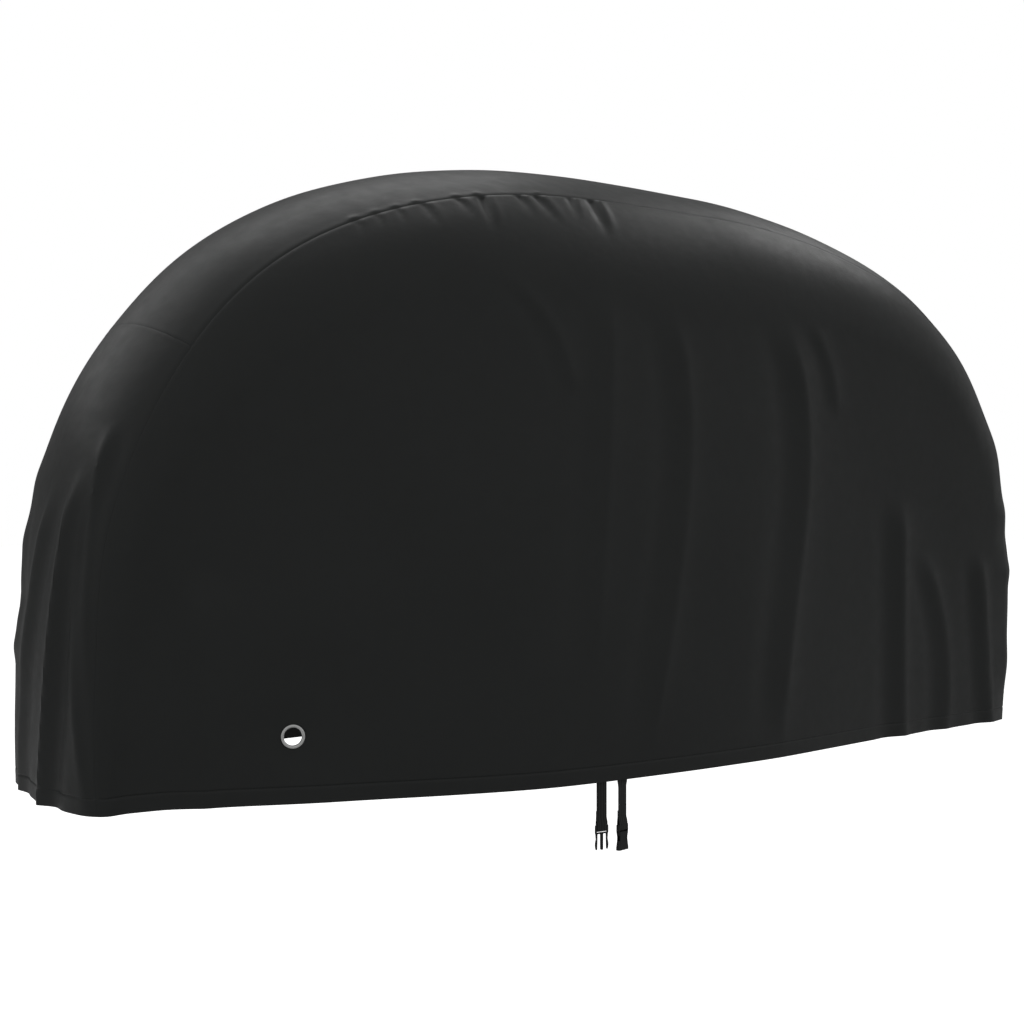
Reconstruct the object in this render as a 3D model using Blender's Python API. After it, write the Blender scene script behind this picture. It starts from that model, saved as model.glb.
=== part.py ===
"""A fitted cover for one bicycle, standing as it does over the bicycle, which is not part of it.

X runs along the cover, nose at -X and tail at +X, and its near side faces -Y. Lengths are in metres
and are worked out from the hem's plane. The whole cover hangs from an empty that puts the origin
under the crown's cloth, where the bicycle carries it.

The cover is two half-oval side panels and a strip between them that runs up the nose, over the crown
and down the tail. The strip is cut in two: a short nose piece, and the long crown piece. An eyelet is
set in the near panel, and two webbing straps with the halves of a buckle are sewn inside its hem.
"""

import math
from collections import namedtuple

import bmesh
import bpy
from mathutils import Matrix, Vector

# ---------------------------------------------------------------- driving sizes

MM = 0.001

CROWN_HEIGHT = 1.03       # ridge over the hem's plane
CROWN_X = 0.015           # the ridge's highest point, from the middle of the length
NOSE_REACH = 1.012        # from there to the nose's hem
TAIL_REACH = 0.988        # and to the tail's
NOSE_FULLNESS = 2.87      # exponents of the two quarter curves: 2 is an ellipse, more is squarer
TAIL_FULLNESS = 3.15
ROUNDNESS = 2.06          # exponent of the curve by which a side turns over into the strip
END_ROUNDING = 0.077      # share of the reach that this turn takes at the ends
CROWN_ROUNDING = 0.249    # and at the crown
BULGE_POWER = 1.47        # how the width changes from the hem's to the shoulder's with height

CLOTH = 2 * MM
HEM = 25 * MM             # the turned hem's height
HEM_STEP = 2 * MM         # the slope from hem to single cloth
HEM_TURN = 1 * MM         # what the turned cloth adds to the thickness, on the inside
PIECE_GAP = 0.4 * MM      # between two pieces that are sewn together
SET_GAP = 0.3 * MM        # between a fitting or strap and the cloth
CROSS_SEAM = 140.3        # angle of the seam between the nose piece and the crown piece, in degrees
TAIL_CORNER = 40.0        # where a panel's top edge turns down into its tail edge

# How far the ridge stands off its two quarter curves: angle in degrees from the tail's hem, and metres.
RIDGE_SLACK = (
    (0, -0.001), (20, 0.017), (40, 0.004), (60, -0.013), (80, 0.006), (100, 0.014),
    (120, 0.007), (140, 0.010), (150, 0.013), (160, 0.006), (180, -0.004),
)
# Half the width along the cover: x, and metres either side of the middle plane.
HEM_WIDTH = (
    (-1.0, 0.252), (-0.95, 0.242), (-0.9, 0.2235), (-0.6, 0.294), (-0.25, 0.359),
    (0.15, 0.326), (0.55, 0.24), (0.85, 0.19), (1.0, 0.169),
)
SHOULDER_WIDTH = ((-1.0, 0.219), (0.0, 0.274), (1.0, 0.278))
# The strip's half width: angle, and metres.
STRIP_WIDTH = ((0, 0.158), (20, 0.19), (40, 0.2), (154, 0.2), (168, 0.218), (180, 0.224))

# A fold of a side panel, from its top to its foot. Its crest is a smooth curve through four places at
# even heights, and a shallower trough lies on its nose side.
Fold = namedtuple("Fold", "top_z low_z top_x high_x low_x foot_x half_width height")
NEAR_FOLDS = (
    Fold(0.80, 0.62, -0.306, -0.243, -0.213, -0.200, 0.020, 0.0035),
    Fold(0.79, 0.15, -0.118, -0.136, -0.162, -0.190, 0.028, 0.0045),
    Fold(0.78, 0.02, 0.007, 0.025, -0.022, -0.076, 0.028, 0.007),
    Fold(0.78, -0.02, 0.259, 0.309, 0.264, 0.234, 0.031, 0.0085),
    Fold(0.77, 0.60, 0.333, 0.369, 0.389, 0.392, 0.018, 0.0035),
    Fold(0.47, -0.20, 0.585, 0.592, 0.600, 0.607, 0.028, 0.009),
    Fold(0.36, -0.20, 0.650, 0.735, 0.737, 0.659, 0.026, 0.0065),
    Fold(0.36, -0.20, 0.835, 0.867, 0.893, 0.917, 0.024, 0.008),
    Fold(0.35, -0.20, -0.794, -0.793, -0.793, -0.796, 0.030, 0.006),
)
FAR_FOLDS = (
    Fold(0.74, 0.10, -0.420, -0.439, -0.436, -0.410, 0.040, 0.007),
    Fold(0.78, 0.05, -0.080, -0.106, -0.109, -0.090, 0.036, 0.008),
    Fold(0.77, 0.02, 0.230, 0.256, 0.259, 0.240, 0.040, 0.008),
    Fold(0.46, -0.20, 0.560, 0.570, 0.580, 0.590, 0.034, 0.009),
    Fold(0.40, -0.20, 0.800, 0.806, 0.816, 0.830, 0.030, 0.007),
    Fold(0.38, -0.20, -0.760, -0.771, -0.778, -0.780, 0.045, 0.007),
)
# A pleat of the nose piece, in the same words, with its places across the strip.
Pleat = namedtuple("Pleat", "top_z low_z top_y high_y low_y foot_y half_width height")
NOSE_PLEATS = (
    Pleat(0.57, 0.08, -0.156, -0.179, -0.203, -0.229, 0.013, 0.008),
    Pleat(0.48, -0.25, -0.161, -0.175, -0.219, -0.292, 0.015, 0.007),
    Pleat(0.51, -0.25, -0.132, -0.124, -0.090, -0.028, 0.021, 0.016),
    Pleat(0.48, -0.25, -0.061, -0.000, 0.048, 0.085, 0.022, 0.007),
    Pleat(0.48, -0.25, 0.100, 0.108, 0.116, 0.122, 0.026, 0.003),
    Pleat(0.50, -0.25, 0.160, 0.167, 0.172, 0.175, 0.022, 0.003),
)
TAIL_PLEATS = (
    Pleat(0.46, -0.25, -0.084, -0.081, -0.079, -0.076, 0.026, 0.011),
    Pleat(0.42, -0.25, 0.006, 0.010, 0.009, 0.004, 0.026, 0.01),
    Pleat(0.48, -0.25, 0.094, 0.091, 0.090, 0.092, 0.026, 0.012),
)
TROUGH_SHARE = 0.55       # a trough's depth as a share of its crest's height
TROUGH_SIDE = 1.7         # how far beside the crest it lies, in half widths
SEAM_CALM = 0.06          # folds fade out over this distance before a seam

# The grid of a panel: runs of columns along the top edge, as x from, x to and number of columns.
COLUMN_RUNS = ((-0.80, -0.34, 7), (-0.34, 0.44, 25), (0.44, 0.81, 12))
LOW_ROWS = (0.0, HEM, HEM + HEM_STEP, 73 * MM, 127 * MM)   # the last two pass either side of the eyelet
ROWS_ABOVE = 8
# Where the strip's lines of points run, as shares of its half width.
STRIP_LINES = (-1, -0.88, -0.76, -0.64, -0.53, -0.42, -0.3, -0.18, -0.05, 0.12, 0.3, 0.48, 0.66, 0.83, 1)

EYELET_X = -0.670
EYELET_Z = 0.100
EYELET_BORE = 13.5 * MM
EYELET_BARREL = 15 * MM
EYELET_RIM = 18 * MM
EYELET_ROLL = 1.5 * MM    # half the thickness of the rolled rim
EYELET_WASHER = 1.0 * MM
EYELET_SIDES = 28
EYELET_FLAT = 65 * MM     # the cloth lies flat this far round it

STRAP_WIDTH = 20 * MM
WEBBING = 1.2 * MM
STRAP_SEWN = 55 * MM      # how much of it lies on the inside of the hem
STRAP_TAIL = 30 * MM      # what comes back up from the buckle
BAR = 2.0 * MM            # that square bar's thickness
LOOP = BAR / math.sqrt(2) + WEBBING / 2 + 1.5 * SET_GAP   # radius of the strap's turn round the bar
TURN_OVER = 12 * MM       # a strap turns about the vertical within this drop
# Each strap: name, x, how far it turns, in degrees, and how far below the hem its buckle's bar is.
Strap = namedtuple("Strap", "name x turn drop")
LEFT_STRAP = Strap("strap_left", -0.1755, 0.0, 76 * MM)
RIGHT_STRAP = Strap("strap_right", -0.1340, 12.0, 79 * MM)

# The buckle halves' outlines, as half width and height over the bar, from the top down.
PRONG_HALF = tuple((x * MM, z * MM) for x, z in (
    (11.2, 7.4), (12.2, 6.4), (12.3, -4.2), (11.3, -7.5), (10.7, -15.0), (12.1, -21.0),
    (12.3, -25.0), (11.3, -30.8), (10.2, -32.0), (9.7, -29.5), (9.3, -18.0), (9.1, -6.4),
    (2.1, -6.4), (1.9, -31.0), (1.2, -32.2),
))
SOCKET_HALF = tuple((x * MM, z * MM) for x, z in (
    (12.0, 7.2), (12.1, -3.0), (11.3, -8.0), (10.2, -12.5), (10.1, -16.5), (11.0, -22.5),
    (12.5, -30.0), (12.5, -34.0),
))
PRONG_THICK = 3.8 * MM
SOCKET_THICK = 8.2 * MM
SOCKET_EDGE = 2.0 * MM    # the socket's chamfered edges
SLOT_HALF = 10.5 * MM     # the slots that the strap goes through
SLOT_BELOW = 4.3 * MM     # the lower one's foot
TOP_BAR = 5.2 * MM        # the frame's top bar starts here
# The cuts that hollow the socket: half width, half thickness, foot and head.
Hollow = namedtuple("Hollow", "name half_width half_thick foot head")
SOCKET_HOLLOWS = (
    Hollow("socket_mouth", 9.9 * MM, 2.9 * MM, -35.0 * MM, -20.0 * MM),
    Hollow("socket_throat", 8.2 * MM, 2.9 * MM, -20.5 * MM, -8.0 * MM),
    Hollow("socket_windows", 20.0 * MM, 2.9 * MM, -19.0 * MM, -10.0 * MM),
)

# ---------------------------------------------------------------- small helpers


def through(rows, place):
    """A smooth curve through a table's rows, level past its ends and with no swing between them."""
    places = [row[0] for row in rows]
    place = min(max(place, places[0]), places[-1])
    steps = [
        (after[1] - before[1]) / (after[0] - before[0]) for before, after in zip(rows, rows[1:])
    ]
    here = max(i for i in range(len(steps)) if places[i] <= place)

    def slope(i):
        if i in (0, len(steps)):
            return steps[min(i, len(steps) - 1)]
        before, after = steps[i - 1], steps[i]
        return 0.0 if before * after <= 0 else 2 * before * after / (before + after)

    span = places[here + 1] - places[here]
    t = (place - places[here]) / span
    return (
        rows[here][1] * (1 + 2 * t) * (1 - t) ** 2
        + rows[here + 1][1] * t * t * (3 - 2 * t)
        + span * t * (1 - t) * (slope(here) * (1 - t) - slope(here + 1) * t)
    )


def eased(t):
    """0 up to 0, 1 from 1 on, and a soft rise between."""
    t = min(max(t, 0.0), 1.0)
    return t * t * (3 - 2 * t)


def solve(measure, wanted, low, high):
    """Where a measure that only rises, or only falls, between low and high has the wanted value."""
    rising = measure(high) > measure(low)
    for _ in range(40):
        middle = (low + high) / 2
        if (measure(middle) < wanted) == rising:
            low = middle
        else:
            high = middle
    return (low + high) / 2


# ---------------------------------------------------------------- the cover's smooth form


def ridge_reach(angle):
    """From the middle of the hem's plane to the ridge, at an angle over the tail's hem."""
    tail = angle < math.pi / 2
    reach, power = (TAIL_REACH, TAIL_FULLNESS) if tail else (NOSE_REACH, NOSE_FULLNESS)
    along = abs(math.cos(angle)) / reach
    up = abs(math.sin(angle)) / CROWN_HEIGHT
    return (along**power + up**power) ** (-1 / power) + through(RIDGE_SLACK, math.degrees(angle))


def rounding(angle):
    """The share of the reach over which a side turns over into the strip."""
    return END_ROUNDING + (CROWN_ROUNDING - END_ROUNDING) * math.sin(angle) ** 2


def body_half_width(x, z):
    """Half the width that the cover would have there with no rounding at its edge."""
    share = eased_height(z)
    return through(HEM_WIDTH, x) * (1 - share) + through(SHOULDER_WIDTH, x) * share


def eased_height(z):
    return min(max(z / CROWN_HEIGHT, 0.0), 1.0) ** BULGE_POWER


def turn_over(x, z):
    """How far the side has turned over there: 0 or less on its flat, 1 on the ridge."""
    angle = math.atan2(max(z, 0.0), x - CROWN_X)
    share = math.hypot(x - CROWN_X, z) / ridge_reach(angle)
    return 1 + (share - 1) / rounding(angle)


def half_width(x, z):
    """From the middle plane to the cloth."""
    turned = min(max(turn_over(x, z), 0.0), 1.0)
    return body_half_width(x, z) * (1 - turned**ROUNDNESS) ** (1 / ROUNDNESS)


def fullness(point):
    """1 on the smooth form, more outside it."""
    sideways = abs(point.y) / body_half_width(point.x, point.z)
    return sideways**ROUNDNESS + max(turn_over(point.x, point.z), 0.0) ** ROUNDNESS


def outward(point, step=0.5 * MM):
    """The smooth form's outward direction."""
    return Vector(
        fullness(point + axis * step) - fullness(point - axis * step)
        for axis in (Vector((1, 0, 0)), Vector((0, 1, 0)), Vector((0, 0, 1)))
    ).normalized()


def on_strip(angle, y):
    """The smooth form's point at an angle over the tail's hem and a distance from the middle plane."""
    reach, share = ridge_reach(angle), 1.0
    for _ in range(8):
        x = CROWN_X + reach * share * math.cos(angle)
        z = reach * share * math.sin(angle)
        sideways = min(abs(y) / body_half_width(x, z), 1.0)
        share = 1 + rounding(angle) * ((1 - sideways**ROUNDNESS) ** (1 / ROUNDNESS) - 1)
    return Vector((x, y, z))


def strip_half_width(angle):
    return through(STRIP_WIDTH, math.degrees(angle))


def on_seam(angle, beyond=0.0):
    """The far seam's point, or one that lies beyond it, down the side."""
    return on_strip(angle, strip_half_width(angle) + beyond)


# ---------------------------------------------------------------- folds and pleats


def crease(across, height_share, fold, places):
    """How far one fold lifts the cloth, at a place across it and a share of its height from the top."""
    t = min(max(height_share, 0.0), 1.0)
    top, high, low, foot = places
    crest = (
        -4.5 * top * (t - 1 / 3) * (t - 2 / 3) * (t - 1) + 13.5 * high * t * (t - 2 / 3) * (t - 1)
        - 13.5 * low * t * (t - 1 / 3) * (t - 1) + 4.5 * foot * t * (t - 1 / 3) * (t - 2 / 3)
    )
    side = (across - crest) / fold.half_width
    shape = math.exp(-side * side) - TROUGH_SHARE * math.exp(-((side + TROUGH_SIDE) ** 2))
    return fold.height * shape * eased(8 * height_share) * eased(4 * (1 - height_share))


def fold_height(folds, x, z):
    """How far a side panel's folds lift its cloth off the smooth form."""
    angle = math.atan2(max(z, 0.0), x - CROWN_X)
    seam = on_seam(angle)
    from_seam = math.hypot(seam.x - CROWN_X, seam.z) - math.hypot(x - CROWN_X, z)
    lifted = sum(
        crease(x, (f.top_z - z) / (f.top_z - f.low_z), f, (f.top_x, f.high_x, f.low_x, f.foot_x))
        for f in folds
    )
    return lifted * eased(from_seam / SEAM_CALM)


def pleat_height(pleats, y, z, half):
    """How far the pleats lift the strip's cloth."""
    lifted = sum(
        crease(y, (f.top_z - z) / (f.top_z - f.low_z), f, (f.top_y, f.high_y, f.low_y, f.foot_y))
        for f in pleats
    )
    return lifted * eased((half - abs(y)) / (SEAM_CALM / 2))


def thickness(z):
    """Single cloth, or the turned hem."""
    return CLOTH + HEM_TURN * (1 - eased((z - HEM) / HEM_STEP))


def put(point, lifted, inside, clamp=None):
    """A corner of a sheet, on its outer face or on its inner one, and flat near a clamp."""
    facing = outward(point)
    outer = point + facing * lifted
    if clamp and (point - clamp).length < EYELET_FLAT:
        facing = outward(clamp)
        outer -= facing * facing.dot(outer - clamp)
    return outer - facing * inside * thickness(point.z)


# ---------------------------------------------------------------- the seam's points


def edge_heights(corner_z):
    """The heights of a sheet's rows where its edge is corner_z high."""
    rise = (corner_z - LOW_ROWS[-1]) / ROWS_ABOVE
    return [*LOW_ROWS, *(LOW_ROWS[-1] + rise * i for i in range(1, ROWS_ABOVE + 1))]


def end_angles(hem_angle, corner_angle):
    """The angles of the seam's points from the hem up one end."""
    heights = edge_heights(on_seam(corner_angle).z)[1:-1]
    found = [solve(lambda a: on_seam(a).z, z, hem_angle, corner_angle) for z in heights]
    return [hem_angle, *found, corner_angle]


def top_angles(first, last):
    """The angles of the seam's points along the top, which lie in even runs along X."""
    places = []
    for start, end, count in COLUMN_RUNS:
        places += [start + (end - start) * i / count for i in range(count)]
    found = [solve(lambda a: on_seam(a).x, x, last, first) for x in places[1:]]
    return [first, *found, last]


NOSE_ANGLES = end_angles(math.pi, math.radians(CROSS_SEAM))
TAIL_ANGLES = end_angles(0.0, math.radians(TAIL_CORNER))
TOP_ANGLES = top_angles(math.radians(CROSS_SEAM), math.radians(TAIL_CORNER))
COLUMNS = len(TOP_ANGLES) - 1
ROWS = len(NOSE_ANGLES) - 1

# ---------------------------------------------------------------- making the pieces


def finish(name, colour, roughness, metallic=0.0):
    material = bpy.data.materials.new(name)
    material.use_nodes = True
    shader = material.node_tree.nodes["Principled BSDF"]
    shader.inputs["Base Color"].default_value = (*colour, 1.0)
    shader.inputs["Roughness"].default_value = roughness
    shader.inputs["Metallic"].default_value = metallic
    return material


def add_object(name, mesh, material, parent):
    """A named object from a bmesh, smooth but for its sharp edges."""
    bmesh.ops.recalc_face_normals(mesh, faces=mesh.faces)
    if mesh.calc_volume(signed=True) < 0:
        bmesh.ops.reverse_faces(mesh, faces=mesh.faces)
    data = bpy.data.meshes.new(name)
    mesh.to_mesh(data)
    mesh.free()
    data.shade_smooth()
    data.set_sharp_from_angle(angle=math.radians(35))
    made = bpy.data.objects.new(name, data)
    bpy.context.scene.collection.objects.link(made)
    if material:
        data.materials.append(material)
    made.parent = parent
    return made


def sheet(columns, rows, place):
    """A closed sheet: a flat slab of columns by rows, each of whose corners is then put in place."""
    mesh = bmesh.new()
    bmesh.ops.create_grid(mesh, x_segments=columns, y_segments=rows, size=0.5)
    raised = bmesh.ops.extrude_face_region(mesh, geom=mesh.faces[:], use_keep_orig=True)["geom"]
    top = [corner for corner in raised if isinstance(corner, bmesh.types.BMVert)]
    bmesh.ops.translate(mesh, verts=top, vec=(0, 0, 1))
    for corner in mesh.verts:
        column = round((corner.co.x + 0.5) * columns)
        row = round((corner.co.y + 0.5) * rows)
        corner.co = place(column, row, 1 - round(corner.co.z))
    return mesh


def panel_place(side, folds, clamp=None):
    """Where a panel's corners go. side is -1 for the near panel, 1 for the far one."""
    beyond = PIECE_GAP / 2
    tops = [on_seam(angle, beyond) for angle in TOP_ANGLES]
    nose = [on_seam(angle, beyond) for angle in NOSE_ANGLES]
    tail = [on_seam(angle, beyond) for angle in TAIL_ANGLES]

    def place(column, row, inside):
        along = column / COLUMNS
        to_nose, to_tail = (1 - along) ** 4, along**4
        top = tops[column]
        z = edge_heights(top.z)[row]
        foot_x = top.x + to_nose * (nose[0].x - nose[-1].x) + to_tail * (tail[0].x - tail[-1].x)
        x = foot_x + (top.x - foot_x) * z / top.z
        for edge, share in ((nose, to_nose), (tail, to_tail)):
            straight = edge[0].x + (edge[-1].x - edge[0].x) * edge[row].z / edge[-1].z
            x += share * (edge[row].x - straight)
        y = side * half_width(x, z)
        return put(Vector((x, y, z)), fold_height(folds, x, z), inside, clamp)

    return place


def strip_place(angles, pleats):
    """Where the corners of a length of the strip go."""

    def place(column, row, inside):
        angle = angles[row]
        half = strip_half_width(angle) - PIECE_GAP / 2
        point = on_strip(angle, STRIP_LINES[column] * half)
        return put(point, pleat_height(pleats, point.y, point.z, half), inside)

    return place


def turned(profile, sides):
    """A ring turned about Z from a closed outline of radius and height."""
    mesh = bmesh.new()
    corners = [mesh.verts.new((radius, 0, height)) for radius, height in profile]
    loop = [mesh.edges.new(pair) for pair in zip(corners, corners[1:] + corners[:1])]
    bmesh.ops.spin(
        mesh, geom=corners + loop, axis=(0, 0, 1), cent=(0, 0, 0), angle=math.tau, steps=sides,
        use_merge=True,
    )
    return mesh


def eyelet_outline():
    """A rolled rim outside the cloth, a barrel through it and a washer inside it."""
    roll_middle = SET_GAP + EYELET_ROLL
    middle_radius = (EYELET_BORE + EYELET_RIM) / 2
    half_rim = (EYELET_RIM - EYELET_BORE) / 2
    steps = 8
    rolled = [
        (
            middle_radius - half_rim * math.cos(math.pi * i / steps),
            roll_middle + EYELET_ROLL * math.sin(math.pi * i / steps),
        )
        for i in range(steps + 1)
    ]
    back = -(CLOTH + SET_GAP)
    return rolled + [
        (EYELET_RIM - 0.5 * MM, SET_GAP),
        (EYELET_BARREL, SET_GAP),
        (EYELET_BARREL, back),
        (EYELET_RIM - 1.0 * MM, back),
        (EYELET_RIM - 1.0 * MM, back - EYELET_WASHER),
        (EYELET_BORE, back - EYELET_WASHER),
    ]


def on_near_cloth(x, z):
    """The near panel's outer face."""
    point = Vector((x, -half_width(x, z), z))
    return point + outward(point) * fold_height(NEAR_FOLDS, x, z)


def standing_at(point, facing):
    """A frame at a point, its Z the way it faces and its Y as near upright as that allows."""
    across = Vector((0, 0, 1)).cross(facing).normalized()
    frame = Matrix((across, facing.cross(across), facing)).transposed().to_4x4()
    frame.translation = point
    return frame


def drilled(target, cutter_name, frame, radius, depth, parent):
    """Cuts a round hole through an object."""
    mesh = bmesh.new()
    bmesh.ops.create_cone(
        mesh, cap_ends=True, segments=EYELET_SIDES, radius1=radius, radius2=radius, depth=depth
    )
    cutter = add_object(cutter_name, mesh, None, parent)
    cutter.matrix_basis = frame
    cutter.hide_render = True
    cutter.display_type = "WIRE"
    cut = target.modifiers.new("hole", "BOOLEAN")
    cut.operation = "DIFFERENCE"
    cut.solver = "EXACT"
    cut.object = cutter


def strap_path(strap):
    """A strap's middle line seen from its edge: down from its sewn end, round the bar and up again.

    Each point is how far in from the sewn stretch's middle line, and the height over the hem.
    """
    bar, close = -strap.drop, WEBBING + SET_GAP
    spread, joined = 9.5 * MM, 21 * MM
    down = [(0.0, STRAP_SEWN * share) for share in (1.0, 0.75, 0.5, 0.25, 0.0)]
    down += [(0.0, -TURN_OVER * share) for share in (0.25, 0.5, 0.75, 1.0, 2.0, 3.2)]
    down += [(0.0, bar + joined), (-LOOP, bar + spread), (-LOOP, bar)]
    steps = 8
    turns = [math.pi * i / steps for i in range(1, steps + 1)]
    loop = [(-LOOP * math.cos(t), bar - LOOP * math.sin(t)) for t in turns]
    return down + loop + [(LOOP, bar + spread), (close, bar + joined), (close, bar + STRAP_TAIL)]


def strap_frame(strap, height):
    """Where a strap's middle line passes at a height, its direction across and the way in from it."""
    foot = Vector((strap.x, -half_width(strap.x, 0.0), 0.0))
    facing = outward(foot)
    facing.z = 0.0
    facing.normalize()
    stands_in = facing * (CLOTH + HEM_TURN + SET_GAP + WEBBING / 2)
    if height > 0:
        point = on_near_cloth(strap.x, height) - stands_in
    else:
        point = foot - stands_in + Vector((0, 0, height))
    inwards = Matrix.Rotation(math.radians(strap.turn) * eased(-height / TURN_OVER), 3, "Z") @ -facing
    return point, inwards.cross(Vector((0, 0, 1))), inwards


def strap_sheet(strap):
    """A strap with its loop, as one closed ribbon two strips wide."""
    path = strap_path(strap)

    def place(column, row, inside):
        reach_in, height = path[row]
        point, across, inwards = strap_frame(strap, height)
        before, after = path[max(row - 1, 0)], path[min(row + 1, len(path) - 1)]
        run = Vector((after[0] - before[0], after[1] - before[1])).normalized()
        normal = inwards * -run.y + Vector((0, 0, 1)) * run.x
        middle = point + inwards * reach_in + across * STRAP_WIDTH * (column / 2 - 0.5)
        return middle + normal * WEBBING * (inside - 0.5)

    return sheet(2, len(path) - 1, place)


def buckle_frame(strap):
    """A buckle half's frame: its origin on its bar, X across, Y inwards and Z up."""
    point, across, inwards = strap_frame(strap, -strap.drop)
    frame = Matrix((across, inwards, Vector((0, 0, 1)))).transposed().to_4x4()
    frame.translation = point
    return frame


def slab(half_outline, thick, chamfer):
    """A flat body, the same on both sides of its middle, from half of its outline."""
    mesh = bmesh.new()
    outline = [*half_outline, *((-x, z) for x, z in reversed(half_outline))]
    front = mesh.faces.new([mesh.verts.new((x, -thick / 2, z)) for x, z in outline])
    raised = bmesh.ops.extrude_face_region(mesh, geom=[front], use_keep_orig=True)["geom"]
    back = [corner for corner in raised if isinstance(corner, bmesh.types.BMVert)]
    bmesh.ops.translate(mesh, verts=back, vec=(0, thick, 0))
    if chamfer:
        foot = half_outline[-1][1] + MM / 10
        rims = [
            edge for edge in mesh.edges
            if abs(edge.verts[0].co.y - edge.verts[1].co.y) < thick / 2
            and max(corner.co.z for corner in edge.verts) > foot
        ]
        bmesh.ops.bevel(mesh, geom=rims, offset=chamfer, segments=1, profile=0.5, affect="EDGES")
    bmesh.ops.triangulate(mesh, faces=[f for f in mesh.faces if len(f.verts) > 4])
    return mesh


def cut_box(target, name, low, high, parent):
    """Cuts a box, given by two corners in the target's own frame, out of an object."""
    mesh = bmesh.new()
    bmesh.ops.create_cube(mesh, size=1.0)
    bmesh.ops.scale(mesh, vec=Vector(high) - Vector(low), verts=mesh.verts)
    bmesh.ops.translate(mesh, vec=(Vector(high) + Vector(low)) / 2, verts=mesh.verts)
    cutter = add_object(name, mesh, None, parent)
    cutter.matrix_basis = target.matrix_basis.copy()
    cutter.hide_render = True
    cutter.display_type = "WIRE"
    cut = target.modifiers.new(name, "BOOLEAN")
    cut.operation = "DIFFERENCE"
    cut.solver = "EXACT"
    cut.object = cutter


def buckle_half(name, outline, thick, chamfer, strap, material, parent):
    """A buckle half with its two bars, between and under which the strap goes through."""
    made = add_object(name, slab(outline, thick, chamfer), material, parent)
    made.matrix_basis = buckle_frame(strap)
    bar, beyond = BAR / 2, thick
    cut_box(made, name + "_low_slot", (-SLOT_HALF, -beyond, -SLOT_BELOW), (SLOT_HALF, beyond, -bar), parent)
    cut_box(made, name + "_high_slot", (-SLOT_HALF, -beyond, bar), (SLOT_HALF, beyond, TOP_BAR), parent)
    for face, low, high in (("_front", -beyond, -bar), ("_back", bar, beyond)):
        cut_box(made, name + face, (-SLOT_HALF, low, -bar - MM), (SLOT_HALF, high, 10 * MM), parent)
    return made


def build():
    for old in list(bpy.data.objects):
        bpy.data.objects.remove(old, do_unlink=True)

    cloth = finish("coated_cloth", (0.019, 0.020, 0.020), 0.45)
    webbing = finish("webbing", (0.015, 0.016, 0.016), 0.7)
    plastic = finish("buckle_plastic", (0.02, 0.021, 0.021), 0.35)
    steel = finish("eyelet_metal", (0.72, 0.73, 0.74), 0.2, 1.0)

    crown_angle = solve(lambda a: on_strip(a, 0.0).x, 0.0, math.radians(60), math.radians(120))
    crown_underside = on_strip(crown_angle, 0.0).z - CLOTH
    rest = bpy.data.objects.new("crown_rest", None)
    rest.location = (0, 0, -crown_underside)
    bpy.context.scene.collection.objects.link(rest)

    spot = on_near_cloth(EYELET_X, EYELET_Z)
    frame = standing_at(spot, outward(spot))
    near = add_object(
        "near_panel", sheet(COLUMNS, ROWS, panel_place(-1, NEAR_FOLDS, spot)), cloth, rest
    )
    add_object("far_panel", sheet(COLUMNS, ROWS, panel_place(1, FAR_FOLDS)), cloth, rest)

    lines = len(STRIP_LINES) - 1
    half_gap = PIECE_GAP / 2 / ridge_reach(math.radians(CROSS_SEAM))
    nose = [*NOSE_ANGLES[:-1], NOSE_ANGLES[-1] + half_gap]
    crown = [TOP_ANGLES[0] - half_gap, *TOP_ANGLES[1:], *TAIL_ANGLES[-2::-1]]
    add_object("nose_strip", sheet(lines, len(nose) - 1, strip_place(nose, NOSE_PLEATS)), cloth, rest)
    add_object("crown_strip", sheet(lines, len(crown) - 1, strip_place(crown, TAIL_PLEATS)), cloth, rest)

    drilled(near, "eyelet_hole", frame, EYELET_BARREL + SET_GAP, 30 * MM, rest)
    eyelet = add_object("eyelet", turned(eyelet_outline(), EYELET_SIDES), steel, rest)
    eyelet.matrix_basis = frame

    for strap in (LEFT_STRAP, RIGHT_STRAP):
        add_object(strap.name, strap_sheet(strap), webbing, rest)
    buckle_half("buckle_prongs", PRONG_HALF, PRONG_THICK, 0, LEFT_STRAP, plastic, rest)
    socket = buckle_half(
        "buckle_socket", SOCKET_HALF, SOCKET_THICK, SOCKET_EDGE, RIGHT_STRAP, plastic, rest
    )
    for hollow in SOCKET_HOLLOWS:
        corner = (hollow.half_width, hollow.half_thick)
        low, high = (-corner[0], -corner[1], hollow.foot), (*corner, hollow.head)
        cut_box(socket, hollow.name, low, high, rest)


build()
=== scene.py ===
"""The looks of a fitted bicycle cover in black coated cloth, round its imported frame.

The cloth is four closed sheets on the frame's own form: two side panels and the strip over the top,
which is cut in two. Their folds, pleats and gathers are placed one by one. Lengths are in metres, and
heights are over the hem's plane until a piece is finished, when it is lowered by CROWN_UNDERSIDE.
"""

import math
from collections import namedtuple

import bmesh
import bpy
import numpy as np
from mathutils import Matrix, Vector


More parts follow.
